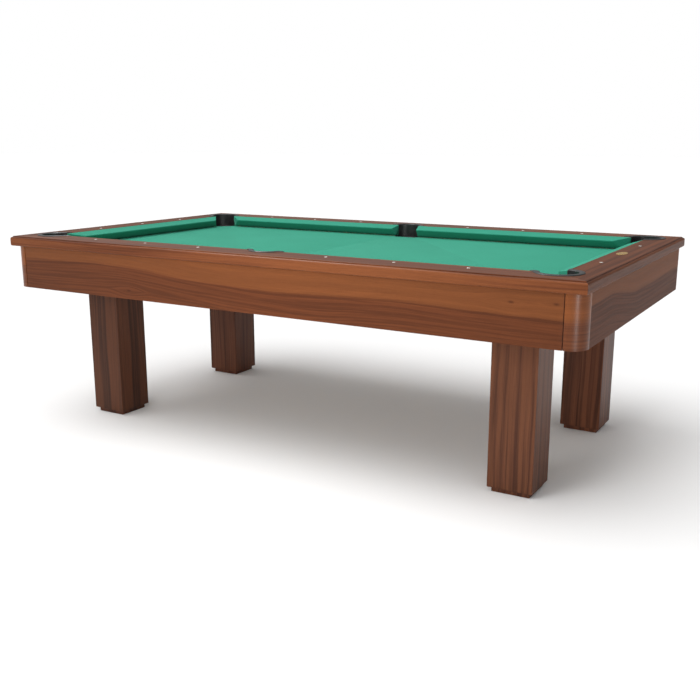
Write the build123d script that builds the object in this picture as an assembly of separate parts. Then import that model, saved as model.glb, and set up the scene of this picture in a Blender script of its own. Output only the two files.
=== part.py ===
"""Eight-foot pool table with square legs and drop pockets.

Millimetres, +Z up, +X along the table, the players' front long side towards -Y.
The origin is on the floor, under the middle of the table. Every physical piece
is its own solid, written to parts/NODE.step; identical pieces share a node.
"""
from build123d import *
import math
import os

# ---- driving dimensions -------------------------------------------------------------
# Playing field, measured between the cushion noses (88 x 44 inches).
FIELD_X = 2235.2 / 2
FIELD_Y = 1117.6 / 2

# Heights.
RAIL_TOP = 838.0
NOSE_BELOW_TOP = 17.7
BED_BELOW_TOP = 54.0
CAP_FACE = 43.0
CAP_BOARD = 20.0
CABINET_BOTTOM = 612.0
LAP_DEPTH = 50.0
FOOT_THICK = 20.0

# Widths from the nose line outwards.
CUSHION_WIDTH = 50.8
OVERHANG_SIDE = 189.2
OVERHANG_END = 180.9
CAP_SKIRT = 35.0
SIGHT_OFFSET = 93.7
BOLT_OFFSET = 72.0

# Cabinet.
APRON_SIDE_Y = 735.0
APRON_END_X = 1291.5
APRON_THICK = 22.0
INNER_BOARD = 23.0
POST_RADIUS = 62.0
POST_FLAT = 3.0
POST_GAP = 2.5
POST_LAP = 25.0
APRON_ARRIS = 1.2
APRON_END_GAP = 0.2
APRON_SCREW_X = (200.0, 700.0, 1100.0)
APRON_SCREW_Y = (-520.0, 0.0, 520.0)
APRON_SCREW_Z = (660.0, 745.0)
APRON_SCREW_LENGTH = 36.0
BEAM_WIDTH = 44.0
PLATFORM_SIZE = 230.0
PLATFORM_THICK = 25.0

# Legs and levelling feet.
LEG_X = 992.2
LEG_Y = 431.0
LEG_SIZE = 173.3
LEG_ROUND = 2.5
FOOT_SIZE = 146.2
FOOT_CHAMFER = 1.5
SCREW_RADIUS = 8.0
RUNNING_GAP = 0.05
SCREW_TIP = 8.0
SCREW_TOP = 92.0
COLLAR_THICK = 8.0
COLLAR_FLATS = 30.0
RECESS_RADIUS = 23.0
RECESS_DEPTH = 12.0
INSERT_RADIUS = 12.0
INSERT_LENGTH = 45.0

# Slate and cloth.
SLATE_X = 1215.0
SLATE_Y = 655.0
SLATE_THICK = 22.2
SLATE_JOINT_X = 405.0
SLATE_JOINT_GAP = 0.4
BACKING_THICK = 24.0
BACKING_WIDTH = 60.0
BACKING_START_X = 58.0
BACKING_END_X = 1088.0
BACKING_END_Y = 528.0
BACKING_GAP = 1.0
SEAM_BOARD_HALF = 50.0
SLATE_SCREW_X = (120.0, 330.0, 520.0, 870.0)
SCREW_HEAD_HOLE = 6.0
SIDE_CUT_HALF = 50.0
CLOTH = 0.8
RAIL_CLOTH = 1.0

# Cushions: depth of the rubber, of the facing pads, and the jaw openings.
RUBBER_BACK = 30.0
FACING_PAD = 4.0
CORNER_MOUTH = 121.0
CORNER_JAW = math.radians(38)
SIDE_MOUTH = 136.0
SIDE_JAW = math.radians(14)

# Pockets: centres outside the nose lines, wall and rim sizes.
CORNER_OUT = 44.5
CORNER_INNER = 63.5
CORNER_RIM = 83.0
SIDE_OUT = 33.2
SIDE_INNER = 59.0
SIDE_RIM = 76.0
SIDE_SHELF = 4.2
POCKET_WALL = 2.5
POCKET_FLOOR = 3.0
POCKET_BOTTOM = 640.0
POCKET_LIP_BELOW_BED = 6.0
RIM_THICK = 4.0
RIM_ROUND = 2.4
POCKET_GAP = 0.6

# Hardware.
SIGHT_RADIUS = 6.35
SIGHT_DEPTH = 2.5
SIGHT_X = (301.7, 583.8, 865.9)
SIGHT_Y = 286.8
PLATE_HALF_X = 19.5
PLATE_HALF_Y = 45.0
PLATE_THICK = 1.2
RAIL_BOLT_X = (190.0, 560.0, 930.0)
RAIL_BOLT_Y = 330.0
RAIL_BOLT_RADIUS = 4.8
RAIL_BOLT_HOLE = 7.0
LEG_BOLT_OFFSET = 55.0
LEG_BOLT_RADIUS = 5.0
LEG_BOLT_DEPTH = 72.0
HOLE_GAP = 0.1
CAP_JOINT = 0.1

# ---- derived places -----------------------------------------------------------------
BED = RAIL_TOP - BED_BELOW_TOP
NOSE = RAIL_TOP - NOSE_BELOW_TOP
CAP_BOTTOM = RAIL_TOP - CAP_FACE
BOARD_BOTTOM = RAIL_TOP - CAP_BOARD
SLATE_TOP = BED - CLOTH
SLATE_BOTTOM = SLATE_TOP - SLATE_THICK
BACKING_BOTTOM = SLATE_BOTTOM - BACKING_THICK
PLATFORM_TOP = CABINET_BOTTOM + PLATFORM_THICK
INSERT_LOW = FOOT_THICK + RECESS_DEPTH
INSERT_HIGH = INSERT_LOW + INSERT_LENGTH
CORNER_POCKET = (FIELD_X + CORNER_OUT, -FIELD_Y - CORNER_OUT)
SIDE_POCKET = (0.0, -FIELD_Y - SIDE_OUT)
CORNER_HOLE = CORNER_INNER + POCKET_WALL + POCKET_GAP
SIDE_HOLE = SIDE_INNER + POCKET_WALL + POCKET_GAP
INNER_Y = APRON_SIDE_Y - APRON_THICK
INNER_X = APRON_END_X - APRON_THICK
POST_X = APRON_END_X - POST_RADIUS - POST_FLAT
POST_Y = APRON_SIDE_Y - POST_RADIUS - POST_FLAT
CORNERS = {"front_right": (1, -1), "front_left": (-1, -1), "back_right": (1, 1), "back_left": (-1, 1)}
FAR = 2000.0


# ---- small tools --------------------------------------------------------------------
def block(low, high):
    """A rectangular block between two opposite corners."""
    size = [b - a for a, b in zip(low, high)]
    middle = [(a + b) / 2 for a, b in zip(low, high)]
    return Pos(*middle) * Box(*size)


def rod(x, y, radius, low, high):
    """An upright round bar."""
    return Pos(x, y, (low + high) / 2) * Cylinder(radius, high - low)


def prism(outline, low, high):
    """An upright prism on a plan outline."""
    return extrude(Pos(0, 0, low) * Polygon(*outline, align=None), amount=high - low, dir=(0, 0, 1))


def hexagon(x, y, flats, low, high):
    """An upright hexagonal bar of the given width across flats."""
    outline = RegularPolygon(flats / 2, 6, major_radius=False)
    return extrude(Pos(x, y, low) * outline, amount=high - low)


def rounded(sketch, corner, radius):
    """The sketch with the vertex nearest to corner rounded."""
    vertex = sketch.vertices().sort_by_distance((corner[0], corner[1], 0))[0]
    return fillet(vertex, radius)


def along_rail(profile, start, end):
    """A profile in (-outward, up) swept straight along the local X of a rail."""
    return extrude(Pos(start, 0, 0) * (Plane.YZ * profile), amount=end - start, dir=(1, 0, 0))


def in_corner(piece, corner):
    """The front-right piece mirrored into one of the four corners."""
    sign_x, sign_y = CORNERS[corner]
    if sign_x < 0:
        piece = mirror(piece, about=Plane.YZ)
    if sign_y > 0:
        piece = mirror(piece, about=Plane.XZ)
    return piece


def in_all_corners(piece):
    """The front-right piece in all four corners."""
    return [in_corner(piece, corner) for corner in CORNERS]


def both_ends(piece):
    """The right-hand piece and its mirror image at the left."""
    return [piece, mirror(piece, about=Plane.YZ)]


def both_sides(piece):
    """The front piece and its mirror image at the back."""
    return [piece, mirror(piece, about=Plane.XZ)]


def solids_of(pieces):
    """The flat list of solids in a piece or a list of pieces."""
    if isinstance(pieces, (list, tuple)):
        return [solid for piece in pieces for solid in solids_of(piece)]
    return list(pieces.solids())


def save(node, pieces):
    """Writes one node as a STEP file."""
    solids = solids_of(pieces)
    shape = solids[0] if len(solids) == 1 else Compound(children=solids)
    shape.label = node
    export_step(shape, f"parts/{node}.step")


# ---- rails --------------------------------------------------------------------------
def cap_profile(outward):
    """Moulded rail cap: thin board inwards, deep skirt outside, stepped and rounded edge."""
    step = 9.0
    drop = 4.0
    under = 6.0
    outline = [
        (-CUSHION_WIDTH, RAIL_TOP),
        (-outward + step, RAIL_TOP),
        (-outward + step, RAIL_TOP - drop),
        (-outward, RAIL_TOP - drop),
        (-outward, CAP_BOTTOM),
        (-outward + CAP_SKIRT, CAP_BOTTOM),
        (-outward + CAP_SKIRT, BOARD_BOTTOM),
        (-CUSHION_WIDTH, BOARD_BOTTOM),
    ]
    sketch = Polygon(*outline, align=None)
    sketch = rounded(sketch, (-outward, RAIL_TOP - drop), step - 0.5)
    sketch = rounded(sketch, (-outward, CAP_BOTTOM), under)
    sketch = rounded(sketch, (-outward + step, RAIL_TOP), 1.6)
    sketch = rounded(sketch, (-CUSHION_WIDTH, RAIL_TOP), 1.0)
    return sketch


def nose_profile(skin):
    """Everything under the rail cloth's outer face (skin 0) or inner face (skin = cloth)."""
    nose = Polyline(
        (-37.3 - skin * 0.7, BED + 1.2 + skin * 0.8),
        (-29.3 - skin * 0.7, BED + 8.1 + skin * 0.9),
        (-3.4 - skin * 0.7, NOSE - 3.7 + skin * 0.9),
    )
    tip = ThreePointArc(nose @ 1, (-skin, NOSE), (-4.4, NOSE + 4.1 - skin))
    top = Polyline(
        tip @ 1,
        (-RUBBER_BACK, RAIL_TOP - 7.1 - skin),
        (-CUSHION_WIDTH + 0.3, RAIL_TOP - 0.8 - skin),
        (-CUSHION_WIDTH + 0.3, BED + 1.2 + skin * 0.8),
        nose @ 0,
    )
    return make_face(nose + tip + top)


def jaw(corner, inset, deep):
    """Plan line of a corner jaw in rail coordinates: (nose end, back end), inset into the rail."""
    start = corner - CORNER_MOUTH / math.sqrt(2) - inset / math.sin(CORNER_JAW)
    return (start, 0.0), (start + deep / math.tan(CORNER_JAW), -deep)


def side_jaw(inset, deep):
    """Plan line of a side pocket jaw in rail coordinates, inset into the rail."""
    start = SIDE_MOUTH / 2 + inset / math.cos(SIDE_JAW)
    return (start, 0.0), (start - deep * math.tan(SIDE_JAW), -deep)


def cushion_plan(corner, long_rail, inset, deep=CUSHION_WIDTH):
    """Plan of the cushion between its two jaws, each moved in by inset."""
    nose_end, back_end = jaw(corner, inset, deep)
    if long_rail:
        nose_start, back_start = side_jaw(inset, deep)
    else:
        nose_start = (-nose_end[0], 0.0)
        back_start = (-back_end[0], -deep)
    return [nose_start, nose_end, back_end, back_start]


def wood_plan(corner, own, other, start, gap=0.1):
    """Plan of a rail's wood from the cushion's back to the outer edge, mitred at the corner."""
    inner = (corner + CUSHION_WIDTH - gap, -CUSHION_WIDTH)
    outer = (corner + other - gap, -own)
    if start is None:
        return [(-inner[0], inner[1]), inner, outer, (-outer[0], outer[1])]
    return [(start, -CUSHION_WIDTH), inner, outer, (start, -own)]


def corner_hole(corner, radius):
    """The round hole of a corner pocket, in rail coordinates."""
    return rod(corner + CORNER_OUT, -CORNER_OUT, radius, CAP_BOTTOM - 100, RAIL_TOP + 50)


def side_hole(radius):
    """The round hole of a side pocket, in rail coordinates."""
    return rod(0, -SIDE_OUT, radius, CAP_BOTTOM - 100, RAIL_TOP + 50)


def rail_cap(corner, own, other, long_rail, sights):
    """Veneered cap of one rail, cut round its pockets, with blind holes for its sights."""
    start = CAP_JOINT if long_rail else None
    plan = prism(wood_plan(corner, own, other, start), CAP_BOTTOM - 5, RAIL_TOP + 5)
    cap = along_rail(cap_profile(own), -FAR, FAR) & plan
    hole = corner_hole(corner, CORNER_HOLE)
    cap = cap - hole - mirror(hole, about=Plane.YZ)
    if long_rail:
        cap -= side_hole(SIDE_HOLE)
    for x in sights:
        cap -= rod(x, -SIGHT_OFFSET, SIGHT_RADIUS + HOLE_GAP, RAIL_TOP - SIGHT_DEPTH, RAIL_TOP + 5)
    return cap


def subrail(corner, own, other, long_rail, bolts):
    """Softwood rail core, sawn off square at the pockets: carries the rubber and takes the bolts."""
    outer = -own + CAP_SKIRT + 0.3
    bevel_back = -RUBBER_BACK - 8.0
    outline = [
        (bevel_back, BED),
        (bevel_back, BED + 2.0),
        (-RUBBER_BACK, BED + 9.0),
        (-RUBBER_BACK, RAIL_TOP - 8.1),
        (-CUSHION_WIDTH + 0.3, RAIL_TOP - 1.8),
        (-CUSHION_WIDTH + 0.3, BOARD_BOTTOM),
        (outer, BOARD_BOTTOM),
        (outer, BED),
    ]
    end = corner + CORNER_OUT - CORNER_HOLE
    start = SIDE_HOLE if long_rail else -end
    inset = RAIL_CLOTH + FACING_PAD
    core = along_rail(Polygon(*outline, align=None), start, end)
    behind = block((start, -own, BED), (end, -CUSHION_WIDTH, RAIL_TOP))
    inner = prism(cushion_plan(corner, long_rail, inset), BED, RAIL_TOP)
    core = core & (inner + behind)
    for x in bolts:
        core -= rod(x, -BOLT_OFFSET, RAIL_BOLT_RADIUS + HOLE_GAP, BED - 5, BOARD_BOTTOM - 10)
    return core


def cushion_rubber(corner, long_rail):
    """Triangular rubber cushion between its facing pads."""
    core = along_rail(nose_profile(RAIL_CLOTH), -FAR, FAR)
    inset = RAIL_CLOTH + FACING_PAD
    plan = cushion_plan(corner, long_rail, inset, RUBBER_BACK)
    return core & prism(plan, BED, RAIL_TOP)


def facing_pads(corner, long_rail):
    """Hard rubber pads glued to the two jaw ends of a cushion."""
    core = along_rail(nose_profile(RAIL_CLOTH), -FAR, FAR)
    outer = prism(cushion_plan(corner, long_rail, RAIL_CLOTH), BED, RAIL_TOP)
    inner = prism(cushion_plan(corner, long_rail, RAIL_CLOTH + FACING_PAD), BED, RAIL_TOP)
    return (core & outer) - inner


def cushion_cloth(corner, long_rail):
    """Cloth stretched over the rubber, the feather strip and both jaw ends."""
    full = along_rail(nose_profile(0.0), -FAR, FAR)
    full &= prism(cushion_plan(corner, long_rail, 0.0), BED, RAIL_TOP)
    core = along_rail(nose_profile(RAIL_CLOTH), -FAR, FAR)
    core &= prism(cushion_plan(corner, long_rail, RAIL_CLOTH), BED, RAIL_TOP)
    below = block((-FAR, -CUSHION_WIDTH, BED - 1), (FAR, -RUBBER_BACK - 7.6, BED + 3.0))
    behind = block((-FAR, -CUSHION_WIDTH, BED), (FAR, -CUSHION_WIDTH + 1.0, RAIL_TOP - 2.2))
    return full - core - below - behind


def on_front(piece):
    """A rail piece moved from rail coordinates to the front rail."""
    return Pos(0, -FIELD_Y, 0) * piece


def on_right(piece):
    """A rail piece moved from rail coordinates to the right-hand end rail."""
    return Pos(FIELD_X, 0, 0) * Rot(0, 0, 90) * piece


def make_rails():
    """Rails on all four sides: caps, cores, rubbers, facings and cloths."""
    front = (FIELD_X, OVERHANG_SIDE, OVERHANG_END, True)
    end = (FIELD_Y, OVERHANG_END, OVERHANG_SIDE, False)
    long_cap = on_front(rail_cap(*front, SIGHT_X))
    long_cloth = on_front(cushion_cloth(FIELD_X, True))
    for corner in CORNERS:
        save(f"rail_cap_{corner}", in_corner(long_cap, corner))
        save(f"cushion_cloth_{corner}", in_corner(long_cloth, corner))
    right_cap = on_right(rail_cap(*end, (-SIGHT_Y, SIGHT_Y)))
    left_cap = on_right(rail_cap(*end, (-SIGHT_Y, 0.0, SIGHT_Y)))
    end_cloth = on_right(cushion_cloth(FIELD_Y, False))
    save("rail_cap_right_end", right_cap)
    save("rail_cap_left_end", mirror(left_cap, about=Plane.YZ))
    save("cushion_cloth_right_end", end_cloth)
    save("cushion_cloth_left_end", mirror(end_cloth, about=Plane.YZ))

    save("subrails_long", in_all_corners(on_front(subrail(*front, RAIL_BOLT_X))))
    end_bolts = (-RAIL_BOLT_Y, 0.0, RAIL_BOLT_Y)
    save("subrails_end", both_ends(on_right(subrail(*end, end_bolts))))
    save("cushion_rubbers_long", in_all_corners(on_front(cushion_rubber(FIELD_X, True))))
    save("cushion_rubbers_end", both_ends(on_right(cushion_rubber(FIELD_Y, False))))
    long_pads = in_all_corners(on_front(facing_pads(FIELD_X, True)))
    end_pads = both_ends(on_right(facing_pads(FIELD_Y, False)))
    save("pocket_facings", long_pads + end_pads)


# ---- pockets ------------------------------------------------------------------------
def liner(centre, inner, rim, kept, closed_front=None):
    """Moulded pocket: cup below the bed, wall behind the mouth, flat rim on the rail."""
    x, y = centre
    outer = inner + POCKET_WALL
    lip = BED - POCKET_LIP_BELOW_BED
    shell = rod(x, y, outer, POCKET_BOTTOM, lip) + (rod(x, y, outer, lip, RAIL_TOP) & kept)
    hollow = rod(x, y, inner, POCKET_BOTTOM + POCKET_FLOOR, RAIL_TOP + 10)
    if closed_front is not None:
        shell &= block((-FAR, -FAR, 0), (FAR, closed_front, FAR))
        hollow &= block((-FAR, -FAR, 0), (FAR, closed_front - POCKET_WALL, FAR))
    flange = rod(x, y, rim, RAIL_TOP, RAIL_TOP + RIM_THICK)
    edges = flange.edges().filter_by(GeomType.CIRCLE).sort_by(Axis.Z)
    flange = fillet(edges[-1], RIM_ROUND)
    flange &= kept
    return (shell + flange) - hollow


def make_pockets():
    """Six drop pockets."""
    inner_y = -FIELD_Y - CUSHION_WIDTH - 1.0
    inner_x = FIELD_X + CUSHION_WIDTH + 1.0
    behind_side = block((-FAR, -FAR, 0), (FAR, inner_y, FAR))
    behind_end = block((inner_x, -FAR, 0), (FAR, 0, FAR))
    corner = liner(CORNER_POCKET, CORNER_INNER, CORNER_RIM, behind_side + behind_end)
    for name in CORNERS:
        save(f"pocket_{name}", in_corner(corner, name))
    front = -FIELD_Y - SIDE_SHELF - POCKET_GAP
    side = liner(SIDE_POCKET, SIDE_INNER, SIDE_RIM, behind_side, front)
    save("pocket_front_side", side)
    save("pocket_back_side", mirror(side, about=Plane.XZ))


def pocket_cuts(low, high):
    """Holes for all six pockets in the slate and what lies on and under it."""
    corner_x, corner_y = CORNER_POCKET
    corner = rod(corner_x, corner_y, CORNER_HOLE, low, high)
    corner += block((corner_x, corner_y - CORNER_HOLE, low), (corner_x + CORNER_HOLE, corner_y, high))
    side_x, side_y = SIDE_POCKET
    side = rod(side_x, side_y, SIDE_HOLE, low, high)
    side += block((-SIDE_CUT_HALF, -SLATE_Y - 10, low), (SIDE_CUT_HALF, side_y, high))
    side &= block((-FAR, -FAR, low), (FAR, -FIELD_Y - SIDE_SHELF, high))
    return in_all_corners(corner) + both_sides(side)


# ---- bed ----------------------------------------------------------------------------
def bolt_places():
    """Plan positions of the bolts that hold the rails to the slate."""
    y = FIELD_Y + BOLT_OFFSET
    places = [(sx * x, sy * y) for x in RAIL_BOLT_X for sx, sy in CORNERS.values()]
    x = FIELD_X + BOLT_OFFSET
    return places + [(sx * x, y) for sx in (-1, 1) for y in (-RAIL_BOLT_Y, 0.0, RAIL_BOLT_Y)]


def slate_screw_places():
    """Plan positions of the screws that hold the slates to the long beams."""
    return [(sx * x, sy * LEG_Y) for x in SLATE_SCREW_X for sx, sy in CORNERS.values()]


def slate_screw(x, y, grow=0.0):
    """Countersunk screw, its head just under the slate's top."""
    top = SLATE_TOP - 1.0
    shank = rod(x, y, 2.8 + grow, BACKING_BOTTOM - 30, top - 4)
    return shank + rod(x, y, 5.5 + grow, top - 4, top)


def rail_bolt(x, y):
    """Rail bolt with its washer, from under the slate up into the rail."""
    shank = rod(x, y, RAIL_BOLT_RADIUS, BACKING_BOTTOM - 3.5, BOARD_BOTTOM - 12)
    washer = rod(x, y, 16.0, BACKING_BOTTOM - 3, BACKING_BOTTOM)
    head = hexagon(x, y, 17.0, BACKING_BOTTOM - 10, BACKING_BOTTOM - 3)
    return shank + washer + head


def backing_boards():
    """Boards under the slate: round its edge, under its seams and over the long beams."""
    low, high = BACKING_BOTTOM, SLATE_BOTTOM
    inner_y = SLATE_Y - BACKING_WIDTH
    half = BEAM_WIDTH / 2
    seam_low = SLATE_JOINT_X - SEAM_BOARD_HALF
    seam_high = SLATE_JOINT_X + SEAM_BOARD_HALF
    end_x = SLATE_X - BACKING_WIDTH
    long_board = block((BACKING_START_X, -SLATE_Y, low), (BACKING_END_X, -inner_y, high))
    end_board = block((end_x, -BACKING_END_Y, low), (SLATE_X, BACKING_END_Y, high))
    seam_board = block((seam_low, -inner_y + BACKING_GAP, low), (seam_high, inner_y - BACKING_GAP, high))
    front, back = -LEG_Y - half, -LEG_Y + half
    middle = block((-seam_low + BACKING_GAP, front, low), (seam_low - BACKING_GAP, back, high))
    outer = block((seam_high + BACKING_GAP, front, low), (end_x - BACKING_GAP, back, high))
    boards = in_all_corners(long_board) + both_ends(end_board) + both_ends(seam_board)
    return boards + both_sides(middle) + in_all_corners(outer)


def make_bed():
    """Three slates, the boards under them, the cloth, and the screws and bolts."""
    cuts = pocket_cuts(BACKING_BOTTOM - 10, BED + 10)
    holes = [rod(x, y, RAIL_BOLT_HOLE, BACKING_BOTTOM - 5, SLATE_TOP) for x, y in bolt_places()]
    seats = [slate_screw(x, y, HOLE_GAP) for x, y in slate_screw_places()]
    seats += [rod(x, y, SCREW_HEAD_HOLE, SLATE_TOP - 1.2, SLATE_TOP) for x, y in slate_screw_places()]
    half = SLATE_JOINT_GAP / 2
    spans = {
        "slate_left": (-SLATE_X, -SLATE_JOINT_X - half),
        "slate_centre": (-SLATE_JOINT_X + half, SLATE_JOINT_X - half),
        "slate_right": (SLATE_JOINT_X + half, SLATE_X),
    }
    for node, (start, end) in spans.items():
        slab = block((start, -SLATE_Y, SLATE_BOTTOM), (end, SLATE_Y, SLATE_TOP))
        save(node, slab - cuts - holes - seats)
    save("slate_backing_boards", [board - cuts - holes - seats for board in backing_boards()])

    cloth = block((-SLATE_X, -SLATE_Y, SLATE_TOP), (SLATE_X, SLATE_Y, BED))
    bolt_clearance = [rod(x, y, RAIL_BOLT_HOLE, SLATE_TOP - 1, BED + 1) for x, y in bolt_places()]
    save("bed_cloth", cloth - cuts - bolt_clearance)
    save("slate_screws", [slate_screw(x, y) for x, y in slate_screw_places()])
    save("rail_bolts", [rail_bolt(x, y) for x, y in bolt_places()])


# ---- cabinet ------------------------------------------------------------------------
def corner_post():
    """Quarter-round post that joins two aprons, in the front-right corner."""
    post = block((POST_X, -APRON_SIDE_Y, CABINET_BOTTOM), (APRON_END_X, -POST_Y, CAP_BOTTOM))
    post -= block((POST_X - 1, -INNER_Y, BED), (INNER_X, -POST_Y + 1, CAP_BOTTOM + 1))
    outer_corner = (APRON_END_X, -APRON_SIDE_Y, CABINET_BOTTOM)
    outer_edge = post.edges().filter_by(Axis.Z).sort_by_distance(outer_corner)[0]
    return fillet(outer_edge, POST_RADIUS)


def half_lapped_beams():
    """Front long beam and the two right-hand cross beams, half-lapped at every crossing."""
    low, high = PLATFORM_TOP, BACKING_BOTTOM
    half = BEAM_WIDTH / 2
    lap = low + LAP_DEPTH
    reach_x = INNER_X - INNER_BOARD
    reach_y = INNER_Y - INNER_BOARD
    front, back = -LEG_Y - half, -LEG_Y + half
    long_beam = block((-reach_x, front, low), (reach_x, back, high))
    crosses = []
    for x in (SLATE_JOINT_X, LEG_X):
        for centre in (-x, x):
            long_beam -= block((centre - half, front, lap), (centre + half, back, high))
        cross = block((x - half, -reach_y, low), (x + half, reach_y, high))
        slots = both_sides(block((x - half, front, low), (x + half, back, lap)))
        crosses.append(cross - slots)
    screws = [slate_screw(x, y, HOLE_GAP) for x, y in slate_screw_places()]
    return long_beam - screws, crosses


def cabinet_screw(x, y, z, direction):
    """Pan-head wood screw pointing along a unit direction, its head on the near face."""
    shank = Cylinder(2.5, APRON_SCREW_LENGTH, align=(Align.CENTER, Align.CENTER, Align.MIN))
    head = Cylinder(5.0, 3.0, align=(Align.CENTER, Align.CENTER, Align.MAX))
    plane = Plane(origin=(x, y, z), z_dir=direction)
    return plane.location * (shank + head)


def front_apron():
    """Front apron board, its two outer upright edges slightly chamfered."""
    reach = POST_X - POST_GAP
    board = block((-reach, -APRON_SIDE_Y, CABINET_BOTTOM), (reach, -INNER_Y, CAP_BOTTOM))
    outer_edges = board.edges().filter_by(Axis.Z).sort_by(Axis.Y)[:2]
    return chamfer(outer_edges, APRON_ARRIS)


def leg_platform():
    """Board between the beams and a leg, drilled for the leg's bolts."""
    half = PLATFORM_SIZE / 2
    low, high = CABINET_BOTTOM, PLATFORM_TOP
    platform = block((LEG_X - half, -LEG_Y - half, low), (LEG_X + half, -LEG_Y + half, high))
    for x, y in leg_bolt_places():
        platform -= rod(x, y, LEG_BOLT_RADIUS + HOLE_GAP, low - 1, high + 1)
    return platform


def make_cabinet():
    """Aprons, corner posts, inner boards, beams, leg platforms and their screws."""
    low = CABINET_BOTTOM
    end_y = POST_Y - APRON_END_GAP
    end = block((INNER_X, -end_y, low), (APRON_END_X, end_y, CAP_BOTTOM))
    board_x = POST_X - POST_LAP
    board_y = POST_Y - POST_LAP
    inner_side = block((-board_x, -INNER_Y, low), (board_x, -INNER_Y + INNER_BOARD, BED))
    inner_end = block((INNER_X - INNER_BOARD, -board_y, low), (INNER_X, board_y, BED))
    side_screws = [
        cabinet_screw(side * x, -INNER_Y + INNER_BOARD, z, (0, -1, 0))
        for x in APRON_SCREW_X
        for z in APRON_SCREW_Z
        for side in (-1, 1)
    ]
    end_screws = [
        cabinet_screw(INNER_X - INNER_BOARD, y, z, (1, 0, 0))
        for y in APRON_SCREW_Y
        for z in APRON_SCREW_Z
    ]
    front, back = both_sides(front_apron() - side_screws)
    right, left = both_ends(end - end_screws)
    save("apron_front", front)
    save("apron_back", back)
    save("apron_right_end", right)
    save("apron_left_end", left)
    for corner in CORNERS:
        save(f"corner_post_{corner}", in_corner(corner_post(), corner))
    inner_boards = both_sides(inner_side - side_screws) + both_ends(inner_end - end_screws)
    save("inner_frame_boards", inner_boards)
    long_beam, crosses = half_lapped_beams()
    save("long_beams", both_sides(long_beam))
    save("cross_beams", [piece for cross in crosses for piece in both_ends(cross)])
    save("leg_platforms", in_all_corners(leg_platform()))
    all_side = [piece for screw in side_screws for piece in both_sides(screw)]
    all_end = [piece for screw in end_screws for piece in both_ends(screw)]
    save("cabinet_screws", all_side + all_end)


# ---- legs ---------------------------------------------------------------------------
def leg_bolt_places():
    """Plan positions of the four bolts of the front-right leg."""
    off = LEG_BOLT_OFFSET
    return [(LEG_X + a * off, -LEG_Y + b * off) for a, b in CORNERS.values()]


def leg_bolt(x, y):
    """Bolt with washer, from the platform down into the leg."""
    shank = rod(x, y, LEG_BOLT_RADIUS, CABINET_BOTTOM - LEG_BOLT_DEPTH, PLATFORM_TOP + 0.5)
    washer = rod(x, y, 14.0, PLATFORM_TOP, PLATFORM_TOP + 2.5)
    head = hexagon(x, y, 17.0, PLATFORM_TOP + 2.5, PLATFORM_TOP + 9)
    return shank + washer + head


def square_leg():
    """Square leg, bored for its bolts, insert and screw, and recessed for the screw's collar."""
    x, y = LEG_X, -LEG_Y
    half = LEG_SIZE / 2
    leg = block((x - half, y - half, FOOT_THICK), (x + half, y + half, CABINET_BOTTOM))
    leg = fillet(leg.edges().filter_by(Axis.Z), LEG_ROUND)
    leg -= rod(x, y, RECESS_RADIUS, FOOT_THICK - 1, INSERT_LOW)
    leg -= rod(x, y, INSERT_RADIUS + HOLE_GAP, INSERT_LOW - 1, INSERT_HIGH)
    leg -= rod(x, y, SCREW_RADIUS + 1, INSERT_HIGH - 1, SCREW_TOP + 3)
    bolt_end = CABINET_BOTTOM - LEG_BOLT_DEPTH - 2
    for bolt_x, bolt_y in leg_bolt_places():
        leg -= rod(bolt_x, bolt_y, LEG_BOLT_RADIUS + HOLE_GAP, bolt_end, CABINET_BOTTOM + 1)
    return leg


def levelling_foot():
    """Square plinth foot with a blind bore for the screw's tip."""
    x, y = LEG_X, -LEG_Y
    half = FOOT_SIZE / 2
    foot = block((x - half, y - half, 0), (x + half, y + half, FOOT_THICK))
    foot = chamfer(foot.edges().filter_by(Axis.Z), FOOT_CHAMFER)
    return foot - rod(x, y, SCREW_RADIUS + RUNNING_GAP, SCREW_TIP - 0.2, FOOT_THICK + 1)


def make_legs():
    """Four legs with their bolts, threaded inserts, levelling screws and feet."""
    x, y = LEG_X, -LEG_Y
    leg = square_leg()
    foot = levelling_foot()
    screw = rod(x, y, SCREW_RADIUS, SCREW_TIP, SCREW_TOP)
    screw += hexagon(x, y, COLLAR_FLATS, FOOT_THICK, FOOT_THICK + COLLAR_THICK)
    for corner in CORNERS:
        save(f"leg_{corner}", in_corner(leg, corner))
        save(f"foot_{corner}", in_corner(foot, corner))
        save(f"levelling_screw_{corner}", in_corner(screw, corner))
    insert = rod(x, y, INSERT_RADIUS, INSERT_LOW, INSERT_HIGH)
    insert -= rod(x, y, SCREW_RADIUS + RUNNING_GAP, INSERT_LOW - 1, INSERT_HIGH + 1)
    save("threaded_inserts", in_all_corners(insert))
    bolts = [leg_bolt(bolt_x, bolt_y) for bolt_x, bolt_y in leg_bolt_places()]
    save("leg_bolts", [piece for bolt in bolts for piece in in_all_corners(bolt)])


# ---- trim ---------------------------------------------------------------------------
def sight_places():
    """Plan positions of the rail sights: none at the side pockets or under the plate."""
    y = FIELD_Y + SIGHT_OFFSET
    places = [(sx * x, sy * y) for x in SIGHT_X for sx, sy in CORNERS.values()]
    x = FIELD_X + SIGHT_OFFSET
    places += [(sx * x, sy * SIGHT_Y) for sx, sy in CORNERS.values()]
    return places + [(-x, 0.0)]


def make_trim():
    """Inlaid sights and a blank oval plate on the right-hand rail."""
    low, high = RAIL_TOP - SIGHT_DEPTH, RAIL_TOP
    save("rail_sights", [rod(x, y, SIGHT_RADIUS, low, high) for x, y in sight_places()])
    oval = Pos(FIELD_X + SIGHT_OFFSET, 0, RAIL_TOP) * Ellipse(PLATE_HALF_X, PLATE_HALF_Y)
    save("blank_oval_plate", extrude(oval, amount=PLATE_THICK))


os.makedirs("parts", exist_ok=True)
make_rails()
make_pockets()
make_bed()
make_cabinet()
make_legs()
make_trim()
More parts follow.
